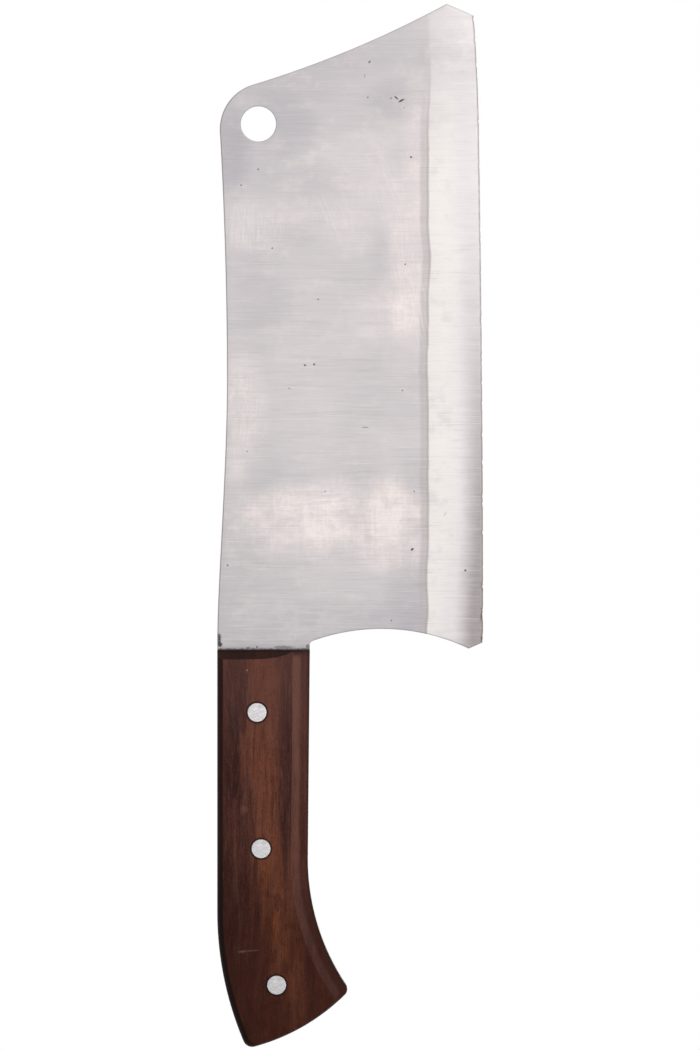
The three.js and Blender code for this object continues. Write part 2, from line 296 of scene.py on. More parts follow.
class Shader:
    def __init__(self, tree):
        self.tree = tree
        self.colour = None  # built up by tint()
        tree.nodes.clear()

    def make(self, kind, settings=None, sockets=None, output=0):
        node = self.tree.nodes.new(kind)
        for key, setting in (settings or {}).items():
            setattr(node, key, setting)
        for key, value in (sockets or {}).items():
            if isinstance(value, Value):
                self.tree.links.new(value.socket, node.inputs[key])
            else:
                node.inputs[key].default_value = value
        return Value(self, node.outputs[output]) if len(node.outputs) else None

    def where(self):
        return self.make("ShaderNodeTexCoord", output=3)

    def drawnPlace(self):  # in mm, as the part is drawn
        return self.stretched(self.where(), (1 / mm,) * 3, (hanging["fromSpine"], 0, hanging["aboveHandle"]))

    def mark(self, name):  # a value that the mesh carries
        return self.make("ShaderNodeAttribute", {"attribute_name": name}, output=2)

    def split(self, vector):
        return [self.make("ShaderNodeSeparateXYZ", sockets={0: vector}, output=i) for i in range(3)]

    def stretched(self, vector, scales, offset=(0, 0, 0)):
        settings = {"operation": "MULTIPLY_ADD"}
        return self.make("ShaderNodeVectorMath", settings, {0: vector, 1: scales, 2: offset})

    def cloud(self, vector, scales, offset=(0, 0, 0), detail=4.0, rough=0.5, distortion=0.0):
        sockets = {
            "Vector": self.stretched(vector, scales, offset), "Scale": 1.0,
            "Detail": detail, "Roughness": rough, "Distortion": distortion,
        }
        return self.make("ShaderNodeTexNoise", sockets=sockets)

    def leaning(self, vector, x, z, lean):  # turned in the face, round a place on it
        settings = {"rotation_type": "Y_AXIS"}
        sockets = {"Vector": vector, "Center": (x, 0, z), "Angle": math.radians(lean)}
        return self.make("ShaderNodeVectorRotate", settings, sockets)

    def spots(self, vector, places, outer, inner, loose=0.0):  # weight of oval places, with an uneven outline
        weight = 0.0
        for x, z, halfWide, halfHigh, strength, *lean in places:
            turned = self.leaning(vector, x, z, lean[0]) if lean else vector
            scales, shift = (1 / halfWide, 0, 1 / halfHigh), (-x / halfWide, 0, -z / halfHigh)
            offset = self.stretched(turned, scales, shift)
            reach = self.make("ShaderNodeVectorMath", {"operation": "LENGTH"}, {0: offset}, 1)
            weight = self.ramp(reach ** 2 + loose, outer, inner) * strength + weight
        return weight

    def ramp(self, value, low, high):  # 0 below low, 1 above high, smooth between; low may be the larger
        settings = {"interpolation_type": "SMOOTHSTEP"}
        return self.make("ShaderNodeMapRange", settings, {0: value, 1: low, 2: high, 3: 0.0, 4: 1.0})

    def mix(self, share, first, second):
        return self.make("ShaderNodeMix", {"data_type": "RGBA"}, {0: share, 6: first, 7: second}, 2)

    def tint(self, share, tone):  # one more layer over the colour so far
        self.colour = self.mix(share, self.colour, tone)

    def finish(self, sockets, bumps):  # bumps lie over one another: height, strength and distance of each
        under = {}
        for height, strength, distance in bumps:
            bump = {"Height": height, "Strength": strength, "Distance": distance, **under}
            under = {"Normal": self.make("ShaderNodeBump", sockets=bump)}
        sockets = {"Base Color": self.colour, **sockets, **under}
        surface = self.make("ShaderNodeBsdfPrincipled", sockets=sockets)
        self.make("ShaderNodeOutputMaterial", sockets={"Surface": surface})


def newMaterial(name):
    material = bpy.data.materials.new(name)
    material.use_nodes = True
    return material, Shader(material.node_tree)


# The grind line wanders: height, reach along the blade and shift of each bend, in mm
grindLine = {
    "x": 74.7,
    "bends": [(202, 20, 0.7), (138, 13, 0.85), (100, 15, -0.45), (26, 15, -0.45), (4, 12, -0.75)],
}

# Steel of the blade. Places on it are x and z in mm, as the blade is drawn, with half width, half height,
# strength and sometimes a lean in degrees.
steelLook = {
    "cheek": srgb(215, 209, 210),
    "cool": srgb(194, 190, 192),
    "lavender": srgb(185, 180, 185),
    "warm": srgb(240, 229, 226),
    # ground: paler partly from the polish of the ground face, partly a painted highlight
    "ground": srgb(232, 227, 223),
    # groundCool: painted shade greying the ground face towards the edge
    "groundCool": srgb(220, 214, 216),
    # mauve: painted shade in a band before the grind line
    "mauve": srgb(186, 177, 177),
    # edgeGrey: painted shade towards the edge and along the grind line, and also the dark brush streaks
    "edgeGrey": srgb(140, 133, 132),
    "scratch": srgb(246, 240, 236),
    # rim: painted shade on the rounded rims
    "rim": srgb(146, 140, 139),
    # edge: painted shade on the final bevel of the cutting edge
    "edge": srgb(112, 104, 100),
    "pit": srgb(80, 73, 70),
    "rust": srgb(112, 74, 50),
    # blackish: the real black residue where the blade goes into the handle
    "blackish": srgb(40, 34, 32),
    "backShift": (9, 0, 27),  # the back is worn in other places
    "paleSpots": [(38, 112, 17, 27, 0.75), (48, 25, 18, 8, 0.5), (30, 84, 12, 10, 0.4)],
    "lavenderSpots": [
        (4, 178, 7, 15, 0.7), (13, 172, 11, 12, 0.3), (26, 184, 8, 9, 0.35), (20, 198, 18, 6, 0.2),
        (44, 210, 15, 7, 0.3), (36, 196, 24, 16, 0.3), (64, 195, 9, 6, 0.35), (66, 210, 9, 11, 0.2),
        (8, 138, 9, 9, 0.25), (16, 123, 9, 9, 0.35), (62, 6, 17, 9, 0.5), (72, 5, 6, 10, 0.4),
        (67, 22, 6, 12, 0.4), (39, 165, 11, 8, 0.3), (60, 142, 6, 8, 0.25),
    ],
    "patches": [
        (44, 48, 25, 10, 0.85), (63, 50, 8, 14, 0.65), (25, 44, 16, 11, 0.4), (50, 37, 22, 7, 0.4),
        (68, 131, 7, 16, 0.8), (59, 118, 10, 9, 0.5), (14, 151, 13, 8, 0.35), (9, 86, 7, 20, 0.7),
        (6, 50, 6, 16, 0.3), (40, 153, 9, 8, 0.3), (67, 156, 7, 12, 0.5), (71, 178, 5, 22, 0.45),
        (85, 211, 10, 17, 0.1), (62, 34, 13, 6, 0.5), (54, 171, 15, 9, 0.4), (48, 155, 8, 11, 0.3),
    ],
    "scratches": [  # half length and half width along their own lean
        (11, 150, 8, 11, 0.6, 86), (42, 154, 9, 6, 0.5, -67), (68, 128, 18, 5, 0.75, -80),
        (36, 52, 12, 4, 0.8, 8), (45, 46, 7, 7, 0.5, 0), (63, 50, 11, 4, 0.45, 85),
        (60, 40, 8, 1.6, 0.6, -35), (9, 84, 16, 6, 0.5, 84), (60, 162, 11, 6, 0.45, -72),
        (64, 146, 8, 5, 0.3, -86),
    ],
    "pits": [
        (53.8, 208.0, 0.5, 0.24, 1.0, 52), (52.1, 203.0, 0.5, 0.2, 0.5, 80), (53.2, 195.4, 0.3, 0.3, 0.7),
        (61.4, 195.1, 0.34, 0.3, 0.6), (63.3, 195.3, 0.85, 0.27, 1.0, -39), (65.0, 194.3, 1.0, 0.32, 1.1, 25),
        (66.0, 191.8, 0.3, 0.25, 0.4), (68.5, 174.3, 0.34, 0.34, 1.0), (14.4, 170.0, 0.3, 0.3, 0.7),
        (8.4, 164.4, 0.26, 0.26, 0.9), (19.4, 142.1, 0.27, 0.26, 0.9, 0), (66.4, 136.4, 0.26, 0.36, 0.9),
        (35.6, 124.0, 0.36, 0.26, 0.7), (31.0, 100.7, 0.42, 0.3, 1.0, -30), (34.2, 101.0, 0.4, 0.34, 0.9),
        (25.4, 92.5, 0.26, 0.26, 0.6), (65.4, 91.8, 0.28, 0.28, 0.7), (52.3, 78.7, 1.0, 0.2, 0.6),
        (10.5, 70.2, 0.26, 0.26, 0.6), (38.1, 56.1, 0.24, 0.24, 0.7), (69.6, 56.1, 0.26, 0.26, 0.8),
        (68.9, 35.6, 0.5, 0.34, 1.1, 40), (87.7, 28.1, 0.36, 0.36, 1.0), (61.5, 10.4, 0.26, 0.26, 0.9),
        (3.6, 29.9, 0.3, 0.3, 0.9), (80.5, 48.0, 0.7, 0.2, 0.4, 55),
    ],
    "residue": [
        (0.3, 4.3, 1.0, 1.6, 1.0), (0.5, 2.0, 1.2, 0.9, 1.0), (23.5, 0.9, 3.2, 0.55, 0.5),
        (10.8, 0.5, 0.8, 0.5, 0.7), (14.0, 1.1, 0.3, 0.3, 0.8), (32.0, 0.9, 0.7, 1.1, 0.7),
    ],
}


def steelMaterial():
    look = steelLook
    material, sh = newMaterial("brushedSteel")
    where = sh.drawnPlace()
    x, depth, z = sh.split(where)
    back = sh.ramp(depth, -0.5, 0.5)
    worn = sh.stretched(back, look["backShift"], where)
    wander = sh.cloud(where, (0.05, 0.05, 0.12), detail=3.0)
    clouds = sh.cloud(where, (0.018, 0.03, 0.035), detail=3.0, rough=0.5)
    blotch = sh.cloud(where, (0.13, 0.2, 0.17), (7, 3, 1), 5.0, 0.66)
    broad = sh.cloud(where, (0.07, 0.1, 0.06), (4, 6, 2), 3.0, 0.55)
    fleck = sh.cloud(where, (0.75, 0.3, 0.95), (5, 1, 9), 4.0, 0.7)
    scuffAcross = sh.cloud(where, (1.3, 0.2, 0.07), (2, 7, 4), 5.0, 0.7, 0.4)
    brushLong = sh.cloud(where, (0.012, 0.03, 0.7), (6, 2, 3), 4.0, 0.6)
    brush = sh.cloud(where, (0.05, 0.03, 2.3), detail=6.0, rough=0.78)
    brushFine = sh.cloud(where, (0.09, 0.3, 6.5), (2, 5, 8), 3.0, 0.7)

    # cheek: faint clouds, pale and lavender places, then handled patches broken up by scuffs both ways
    loose = (blotch - 0.5) * 2.2 + (broad - 0.5) * 3.4
    paler = sh.ramp(clouds + sh.ramp(z, 0, 215) * 0.3, 0.38, 0.9)
    sh.colour = sh.mix(paler, look["cool"], look["cheek"])
    sh.tint(sh.spots(worn, look["paleSpots"], 2.2, 0.0, loose * 0.3), look["cheek"])
    lavender = sh.spots(worn, look["lavenderSpots"], 2.3, 0.0, loose * 0.15)
    sh.tint(lavender * (1 - back * 0.6), look["lavender"])
    patch = sh.spots(worn, look["patches"], 2.3, -0.2, loose)
    scuffs = sh.ramp(blotch + (brush - 0.5) * 0.3 + (scuffAcross - 0.5) * 0.3, 0.34, 0.68)
    sh.tint(patch * (0.42 + scuffs * 0.55), look["warm"])
    sh.tint(patch * sh.ramp(fleck + (blotch - 0.5) * 0.5, 0.5, 0.7) * 0.4, look["scratch"])
    mottle = sh.ramp(blotch, 0.48, 0.75) * (0.22 + 0.16 * sh.ramp(z, 90, 170))
    sh.tint(mottle * (1 - lavender * 0.8), look["warm"])

    # ground face, paler partly from its own polish and partly as a painted highlight, with a painted shade
    # band before it, a painted shadow along the grind line and painted shade greying towards the edge lower
    # down
    line = x - grindLine["x"] + (wander - 0.5) * 0.8
    for height, reach, shift in grindLine["bends"]:
        line = line - sh.ramp((z - height).size(), reach, 0.0) * shift
    ground = sh.ramp(line, -0.35, 0.35)
    # painted shade: a mauve-grey band just before the grind line, where the surface turns away from the light
    shadeBand = sh.ramp(line + (blotch - 0.5) * 1.2, -3.5, -2.3) * (1 - ground) * sh.ramp(z, 214, 165)
    sh.tint(shadeBand * (0.36 + 0.25 * blotch), look["mauve"])
    heel = sh.ramp(z, 48, 4)
    # painted shade: the ground face greys towards the cutting edge, starting further in near the heel
    greyer = sh.ramp(line + (blotch - 0.5) * 6.0 + heel * 6.0, 5.0, 15.0)
    paleGround = sh.mix(greyer, look["ground"], look["groundCool"])
    paleGround = sh.mix(sh.ramp(blotch, 0.5, 0.32) * 0.6, paleGround, look["cheek"])
    # the ground face paler: partly its polish, partly a painted highlight from light on the right
    sh.tint(ground * (0.08 + 0.87 * sh.ramp(z, 214, 165)), paleGround)
    lineShade = sh.ramp(line, -1.1, -0.2) * sh.ramp(line, 0.4, -0.1) * sh.ramp(z, 218, 170)
    sh.tint(lineShade * 0.3, look["edgeGrey"])
    # painted shade: the ground darkens towards the cutting edge, more lower down
    toEdge = bladeShape["width"] - x - sh.ramp(z, 40, 230) * 2.6
    edgeShade = sh.ramp(toEdge - heel * 2.5 + (blotch - 0.5) * 2.4, 9.0, 0.6) * sh.ramp(z, 170, 15)
    sh.tint(edgeShade * 0.84, look["edgeGrey"])

    # groups of fine scratches, then brushing across the blade, plainer towards the handle
    for px, pz, halfLong, halfWide, strength, lean in look["scratches"]:
        leant = sh.leaning(worn, px, pz, lean)
        lines = sh.cloud(leant, (0.1, 0.2, 2.0), (px, 0, pz), 5.0, 0.72)
        spot = sh.spots(leant, [(px, pz, halfLong, halfWide, strength)], 1.9, 0.0, loose * 0.8)
        sh.tint(spot * sh.ramp(lines, 0.44, 0.74) * 0.8, look["scratch"])
    streaks = (brush - 0.5) + (brushLong - 0.5) * 0.3 + (brushFine - 0.5) * 0.8
    brushed = 0.72 + 0.28 * sh.ramp(z, 170, 90)
    sh.tint(sh.ramp(streaks, 0.0, -0.36) * brushed * (0.36 + 0.02 * ground), look["edgeGrey"])
    sh.tint(sh.ramp(streaks, 0.0, 0.36) * brushed * 0.55, look["warm"])

    # pits, rust by the heel and black residue where the blade goes into the handle
    ragged = sh.cloud(where, (2.2, 2.2, 2.2), detail=3.0)
    pitted = sh.spots(worn, look["pits"], 2.1, 0.4, (ragged - 0.5) * 2.4) * sh.ramp(z, -0.5, 0.5)
    sh.tint(pitted * 0.9, look["pit"])
    flecks = sh.cloud(where, (0.5, 0.5, 0.35), (3, 1, 6), 4.0, 0.6)
    rustPlace = sh.ramp(toEdge, 1.5, 0.3) * sh.ramp(z, 32, 12) * sh.ramp(flecks, 0.48, 0.6)
    sh.tint(rustPlace * 0.8, look["rust"])
    specks = sh.cloud(where, (1.5, 1.5, 2.4), detail=5.0, rough=0.75)
    joint = sh.ramp(z + specks * 1.6, 1.5, 0.9)
    residue = sh.spots(where, look["residue"], 1.6, 0.5, (specks - 0.5) * 4.5)
    grimy = joint.above(residue) * sh.ramp(z, -6, -0.4)
    sh.tint(grimy * 0.9, look["blackish"])
    # painted shade: the rounded rims of the outline and the hanging hole greyer, more near the spine
    rim = sh.mark("rim")
    sh.tint(rim * (0.2 + 0.2 * scuffAcross + 0.4 * sh.ramp(x, 12, 5)), look["rim"])
    # painted shade: the final bevel of the cutting edge darker, most at its outer line; the rust on it is its
    # own
    edge = sh.mark("edge")
    sh.tint(edge * (0.7 + 0.25 * sh.ramp(flecks, 0.3, 0.6)), look["edge"])
    sh.tint(edge * rustPlace * 0.6, look["rust"])

    rough = 0.4 + streaks * 0.25 + (clouds - 0.5) * 0.16 - ground * 0.05 - patch * 0.03
    rough = rough + grimy * 0.35 + pitted * 0.2
    fouled = pitted.above(grimy)
    bumps = [(streaks, 0.25, 0.00005), (blotch, 0.1, 0.0006), (1 - fouled, 0.5, 0.0001)]
    sh.finish({"Roughness": rough + edge * 0.2, "Metallic": 1 - fouled * 0.75}, bumps)
    return material


# Dark oiled hardwood, its grain along the handle. Places are given as on the steel.
woodLook = {
    "deep": srgb(38, 17, 13),
    "dusk": srgb(46, 26, 24),
    "body": srgb(64, 35, 29),
    "red": srgb(98, 56, 41),
    "amber": srgb(102, 56, 33),
    "umber": srgb(42, 16, 8),
    # light: pale grain, and also painted sheen on the ridge
    "light": srgb(105, 72, 63),
    # ashen: painted sheen near the front end of the handle
    "ashen": srgb(86, 58, 54),
    # hazy: painted sheen on the ridge lower down
    "hazy": srgb(86, 67, 66),
    "pore": srgb(30, 16, 13),
    "worn": srgb(150, 128, 120),
    # blackish: painted shade on the spine round, side wall, rivet rings and bores, and the darker front
    # chamfer
    "blackish": srgb(22, 12, 10),
    "scuffs": [
        (8.6, -106.5, 1.6, 0.6, 0.45, 3), (11.2, -106.2, 4.2, 0.4, 0.4, 4), (9.6, -56.2, 1.3, 1.6, 0.3, 60),
        (10.6, -7.1, 0.35, 0.5, 1.6),
    ],
    "darkFigure": [
        (7.0, -16, 4.0, 18, 0.7), (5.0, -36, 3.6, 16, 0.6), (24.6, -42, 2.4, 40, 0.85),
        (5.5, -75, 4.5, 40, 0.45), (4.5, -108, 4.0, 40, 0.6), (33.0, -116, 1.8, 18, 0.6),
        (21.6, -89, 1.2, 3.5, 0.6), (11.0, -58, 3.6, 14, 0.6), (10.0, -134, 7.0, 8, 0.45),
    ],
    "redFigure": [
        (16.0, -14, 5.2, 24, 0.9), (16.5, -50, 5.0, 28, 0.85), (19.5, -82, 4.5, 20, 0.7),
        (26.0, -100, 4.5, 22, 0.35), (28.5, -122, 5.0, 13, 0.5), (11.5, -30, 3.5, 10, 0.5),
        (21.0, -107, 4.0, 14, 0.5),
    ],
}


def woodMaterial(rivetSpots, boreRadius):
    look = woodLook
    material, sh = newMaterial("oiledWood")
    where = sh.drawnPlace()
    x, depth, z = sh.split(where)
    drift = sh.cloud(where, (0.03, 0.03, 0.014), detail=2.0)
    sway = (drift - 0.5) * 9.0
    along = sh.make("ShaderNodeCombineXYZ", sockets={0: x + sway, 1: depth + sway * 0.6, 2: z * 0.05})
    bands = sh.cloud(along, (0.17, 0.17, 0.5), (3, 3, 3), 3.0, 0.5, 0.3)
    streak = sh.cloud(along, (0.5, 0.5, 0.8), (4, 9, 2), 4.0, 0.6)
    fine = sh.cloud(along, (2.2, 2.2, 3.0), (13, 1, 7), 5.0, 0.7)
    pores = sh.cloud(along, (4.0, 4.0, 9.0), (3, 17, 5), 2.0, 0.5)
    mottle = sh.cloud(where, (0.35, 0.35, 0.22), (8, 2, 4), 4.0, 0.65)
    grit = sh.cloud(where, (1.7, 1.7, 1.1), (1, 2, 3), 3.0, 0.7)

    warpedX = x + (streak - 0.5) * 3.4 + (bands - 0.5) * 3.4
    warped = sh.make("ShaderNodeCombineXYZ", sockets={0: warpedX, 2: z})
    red = sh.spots(warped, look["redFigure"], 1.7, 0.1)
    shade = sh.spots(warped, look["darkFigure"], 1.25, 0.6)
    sh.colour = sh.mix(sh.ramp(bands, 0.36, 0.64) * 0.5, look["body"], look["red"])
    lower = sh.ramp(z, -50, -100)
    sh.tint(red, sh.mix(lower, look["red"], look["amber"]))
    sh.tint(shade * 0.85, look["dusk"])
    mottled = sh.ramp(mottle, 0.46, 0.66) * (0.22 + 0.3 * sh.ramp(z, -60, -110))
    sh.tint(mottled, look["deep"])
    for grain, start, end, share, tone in (
        (streak, 0.52, 0.72, 0.3, "light"), (streak, 0.5, 0.34, 0.5, "deep"),
        (fine, 0.5, 0.7, 0.34, "light"), (fine, 0.5, 0.3, 0.5, "deep"),
        (grit, 0.5, 0.7, 0.16, "light"), (grit, 0.5, 0.3, 0.34, "deep"),
    ):
        sh.tint(sh.ramp(grain, start, end) * share, look[tone])
    poreMask = sh.ramp(pores, 0.62, 0.7)
    sh.tint(poreMask * 0.45, look["pore"])
    # painted sheen: paler ashen tone near the front end of the handle
    sh.tint(sh.ramp(z, -44, -8) * 0.32, look["ashen"])
    sh.tint(sh.ramp(z, -45, -125) * (1 - red * 0.55) * 0.74, look["umber"])

    # painted sheen on the ridge; painted shade in the spine round, on the belly side past the ridge, on the
    # side wall, round the rivets and in their bores; the front chamfer darker
    patina = sh.cloud(where, (0.12, 0.12, 0.08), (5, 5, 5), 4.0, 0.6)
    ridge, bellySide, spineRound = sh.mark("ridge"), sh.mark("bellySide"), sh.mark("spineRound")
    frontChamfer, bore, wall = sh.mark("frontChamfer"), sh.mark("bore"), sh.mark("wall")
    low = sh.ramp(z, -62, -95)
    # painted sheen: the ridge of the belly bevel paler near the front and greyer lower down
    ridgeSheen = ridge * (0.45 + 0.55 * sh.ramp(z, -115, -60)) * (0.7 + patina * 0.6)
    sheenTone = sh.mix(low, look["light"], look["hazy"])
    sh.tint(ridgeSheen * (0.4 - 0.12 * sh.ramp(z, -35, -60)), sheenTone)
    # painted shade: the belly side past the ridge darker, more lower down
    sh.tint(bellySide * (0.35 + 0.3 * low), look["deep"])
    # painted shade: the steep side wall of the scale darkened all round
    sh.tint(wall * 0.75, look["blackish"])
    # painted shade: the spine round darkened, more lower down
    sh.tint(spineRound * (0.8 + 0.14 * low), look["blackish"])
    # the front chamfer darker
    sh.tint(frontChamfer * 0.8, look["blackish"])
    # painted shadow: a dark ring in the wood round each rivet head, and painted shade in the bores
    rivetRingShade = sh.spots(where, [(p.x, p.y, boreRadius, boreRadius, 0.75) for p in rivetSpots], 1.42, 1.08)
    sh.tint(rivetRingShade.above(bore * 0.9), look["blackish"])
    scuffNoise = sh.cloud(where, (1.2, 0.5, 2.4), (9, 4, 1), 4.0, 0.65, 0.4)
    scuff = sh.spots(where, look["scuffs"], 1.2, 0.2, (scuffNoise - 0.5) * 2.0)
    sh.tint(scuff * 0.22, look["worn"])

    relief = streak * 0.6 + fine * 0.4 - poreMask * 0.4
    rough = 0.55 + (fine - 0.5) * 0.2 + (patina - 0.5) * 0.25 + poreMask * 0.2
    bumps = [(relief, 0.25, 0.00012), (patina, 0.12, 0.0008)]
    sh.finish({"Roughness": rough, "Specular IOR Level": 0.06}, bumps)
    return material


# Pale rivet metal, sanded with the wood and darker towards the butt, with a painted shade ring at its rim
rivetLook = {
    "metal": srgb(197, 194, 195),
    "bright": srgb(224, 221, 222),
    "scratch": srgb(150, 145, 145),
    # rim: painted shade at the edge of the head, where it meets the wood
    "rim": srgb(66, 55, 50),
    "rimWidth": 0.17,
    "tones": {"upper": 1.09, "middle": 1.01, "lower": 0.915},
}


def rivetMaterial(name, headRadius):
    tone = rivetLook["tones"][name]
    look = {}
    for key in ("metal", "bright", "scratch", "rim"):
        look[key] = (*[c * tone for c in rivetLook[key][:3]], 1.0)
    material, sh = newMaterial(name + "RivetMetal")
    where = sh.stretched(sh.where(), (1 / mm,) * 3)
    x, _, z = sh.split(where)
    sanding = sh.cloud(where, (1.1, 0.6, 4.6), detail=4.0, rough=0.65, distortion=0.2)
    crossing = sh.cloud(where, (5.0, 5.0, 1.1), (3, 6, 9), 3.0, 0.6, 0.3)
    blotch = sh.cloud(where, (0.5, 0.5, 0.5), (1, 8, 2), 3.0)
    sh.colour = sh.mix(sh.ramp(sanding, 0.4, 0.65), look["metal"], look["bright"])
    for wear, start, end, share in (
        (sanding, 0.4, 0.25, 0.6), (crossing, 0.62, 0.72, 0.4), (blotch, 0.6, 0.75, 0.3),
    ):
        sh.tint(sh.ramp(wear, start, end) * share, look["scratch"])
    away = (x * x + z * z) ** 0.5
    # painted shade: a dark ring at the rim of the head
    rim = sh.ramp(away, headRadius - rivetLook["rimWidth"], headRadius)
    sh.tint(rim * 0.8, look["rim"])
    rough = 0.36 + (sanding - 0.5) * 0.3 + rim * 0.25
    bumps = [(sanding * 0.6 + crossing * 0.4, 0.2, 0.00008)]
    sh.finish({"Roughness": rough, "Metallic": 1.0}, bumps)
    return material


# Handle outline, shared by the tang and the scales
handleShape = {
    "length": 140.8, "frontWidth": 32.7, "waistWidth": 32.0,
    "spineSweep": 48.3, "spineRadius": 117, "bellySweep": 66.8, "bellyRadius": 80,
    "toeRise": 20.6, "buttRadius": 72, "lowCorner": 3.3, "toeCorner": 2.6,
    "step": 1.6, "cornerStep": 0.5,
}


def handleCurves(spine=0, belly=0, butt=0):  # tail of the handle from the spine line round to the belly line
    h = handleShape
    spineCentre = Vector((h["spineRadius"], h["spineSweep"] - h["length"]))
    bellyCentre = Vector((h["waistWidth"] + h["bellyRadius"], h["bellySweep"] - h["length"]))
    low = Vector((spineCentre.x - math.sqrt(h["spineRadius"] ** 2 - h["spineSweep"] ** 2), -h["length"]))
    flare = h["bellySweep"] - h["toeRise"]
    toe = Vector((bellyCentre.x - math.sqrt(h["bellyRadius"] ** 2 - flare ** 2), h["toeRise"] - h["length"]))
    buttCentre = centreOnLeft(low, toe, h["buttRadius"])
    spineReach, bellyReach = h["spineRadius"] - spine, h["bellyRadius"] + belly
    buttReach = h["buttRadius"] - butt
    lowRound = circlesMeet(spineCentre, spineReach - h["lowCorner"], buttCentre, buttReach - h["lowCorner"])
    toeRound = circlesMeet(bellyCentre, bellyReach + h["toeCorner"], buttCentre, buttReach - h["toeCorner"])
    spineEnd = Vector((spine, spineCentre.y))
    bellyEnd = Vector((h["waistWidth"] - belly, bellyCentre.y))
    onSpine = towards(spineCentre, lowRound, spineReach)
    onButtLow = towards(buttCentre, lowRound, buttReach)
    onButtToe = towards(buttCentre, toeRound, buttReach)
    onBelly = towards(bellyCentre, toeRound, bellyReach)
    return spineEnd, bellyEnd, [
        (spineCentre, spineEnd, onSpine, False, h["step"]),
        (lowRound, onSpine, onButtLow, False, h["cornerStep"]),
        (buttCentre, onButtLow, onButtToe, False, h["step"]),
        (toeRound, onButtToe, onBelly, False, h["cornerStep"]),
        (bellyCentre, onBelly, bellyEnd, True, h["step"]),
    ]


def tailPoints(counts=None, **insets):
    spineEnd, bellyEnd, arcs = handleCurves(**insets)
    points, used = [], []
    for i, (centre, start, end, clockwise, step) in enumerate(arcs):
        if counts:
            radius = (start - centre).length
            full = 2 * math.pi
            turn = (math.atan2(*(end - centre).yx) - math.atan2(*(start - centre).yx)) % full
            step = radius * (full - turn if clockwise else turn) / counts[i]
        made = arcPoints(centre, start, end, step, clockwise)
        points += made
        used.append(len(made))
    return points + [bellyEnd], used


# Blade
bladeShape = {
    "length": 228.6, "width": 94.0, "ease": 0.45, "easeSteps": 8, "tangEase": 0.06,
    "spineStraight": 4.8, "hollowDepth": 3.4, "hollowHeight": 95, "hollowRadius": 1550,
    "leadIn": 18, "leadOut": 30, "leadCount": 60,
    "cornerHeight": 196.4, "cornerRadius": 16.5, "topRadius": 371.6,
    "tipSetback": 12.9, "toeSetback": 3.3, "toeDrop": 4.2,
    "edgeRadius": 10000, "edgeTaper": 1.4, "toeSweep": 46, "toeSweepRadius": 725,
    "heelSetback": 5.1, "heelRise": 0.45, "heelChamfer": 2.25,
    "neckRise": 2.8, "neckFillet": 1.5, "choilRadius": 71.7,
    "grindBulge": 0.1, "finalBevel": 0.8, "shoulderHalf": 0.45, "edgeHalf": 0.1,
    "cheekWave": 0.03, "wavesFrom": 0.5, "wavesFull": 14,
    "step": 1.3, "cornerStep": 0.7, "hollowStep": 1.95, "tangStep": 2.6, "neckStep": 0.6, "filletStep": 0.3,
    "heelStep": 0.5, "toeStep": 0.6, "edgeStep": 0.35, "boreSteps": 40, "sharpAngle": 12.5,
    "gridStep": 2.2, "gridFrom": (1.0, 1.2), "gridTo": (72.5, 229), "gridMargin": 0.7,
    "groundColumns": [  # closer together at the grind line
        73.2, 73.9, 74.4, 74.9, 75.4, 76.1, 77.2, 78.6, 80.4, 82.6, 84.8, 87.0, 89.2, 91.0, 92.2,
    ],
    "nicks": 46, "nickDepth": 0.25, "nickShares": (0.25, 1.0), "nickWidths": (0.3, 0.9),
    "nickCrowding": 1.9,  # above 1 puts more of them near the heel
    "nickSeed": 11, "rippleLeast": 0.005, "ripple": 0.03,
    "edgeTint": 0.35,  # how dark the painted edge shade starts at its shoulder
}


def edgeEnds():  # heel and toe of the cutting edge
    b = bladeShape
    heel = Vector((b["width"], b["heelRise"] + b["heelChamfer"]))
    return heel, Vector((b["width"] - b["toeSetback"], b["length"] - b["toeDrop"]))


def edgeX(z):  # the cutting edge without its nicks
    b = bladeShape
    heel, toe = edgeEnds()
    sweep = Vector((b["width"] - b["edgeTaper"], toe.y - b["toeSweep"]))
    start, end, radius = sweep, toe, b["toeSweepRadius"]
    if z < sweep.y:
        start, end, radius = heel, sweep, b["edgeRadius"]
    centre = centreOnLeft(start, end, radius)
    return centre.x + math.sqrt(radius ** 2 - (min(max(z, heel.y), toe.y) - centre.y) ** 2)


def grindX(z):
    bends = grindLine["bends"]
    return grindLine["x"] + sum(shift * (1 - smooth(0, reach, abs(z - at))) for at, reach, shift in bends)


def bladeHalf(x, z, side):  # half thickness under a point of one face
    b = bladeShape
    if z < b["wavesFrom"]:
        return halfBlade
    wave = noise.noise((x * 0.045, z * 0.03, 5.0 * side))
    wave += 0.5 * noise.noise((x * 0.11, z * 0.09, 9.0 * side))
    worn = b["cheekWave"] * (0.5 + 0.33 * wave) * smooth(b["wavesFrom"], b["wavesFull"], z)
    start, shoulder = grindX(z), edgeX(z) - b["finalBevel"]
    share = (x - start) / (shoulder - start)
    if share <= 0:
        return halfBlade - worn
    share = min(share, 1.0)
    bulge = 4 * b["grindBulge"] * share * (1 - share)
    return halfBlade - worn * (1 - share) + (b["shoulderHalf"] - halfBlade) * share + bulge


def nickedEdge(points):
    b = bladeShape
    draw = random.Random(b["nickSeed"])
    zLow, zHigh = points[0].y, points[-1].y
    nicks = []
    for _ in range(b["nicks"]):
        at = zLow + (zHigh - zLow) * draw.random() ** b["nickCrowding"]
        depth = b["nickDepth"] * draw.uniform(*b["nickShares"])
        nicks.append((at, depth, draw.uniform(*b["nickWidths"])))
    moved = []
    for p in points:
        cut = max(depth * math.exp(-(((p.y - at) / width) ** 2)) for at, depth, width in nicks)
        ripple = b["rippleLeast"] + b["ripple"] * abs(noise.noise((p.y * 0.9, 1.7, 2.2)))
        moved.append(Vector((p.x - cut - ripple, p.y)))
    return moved


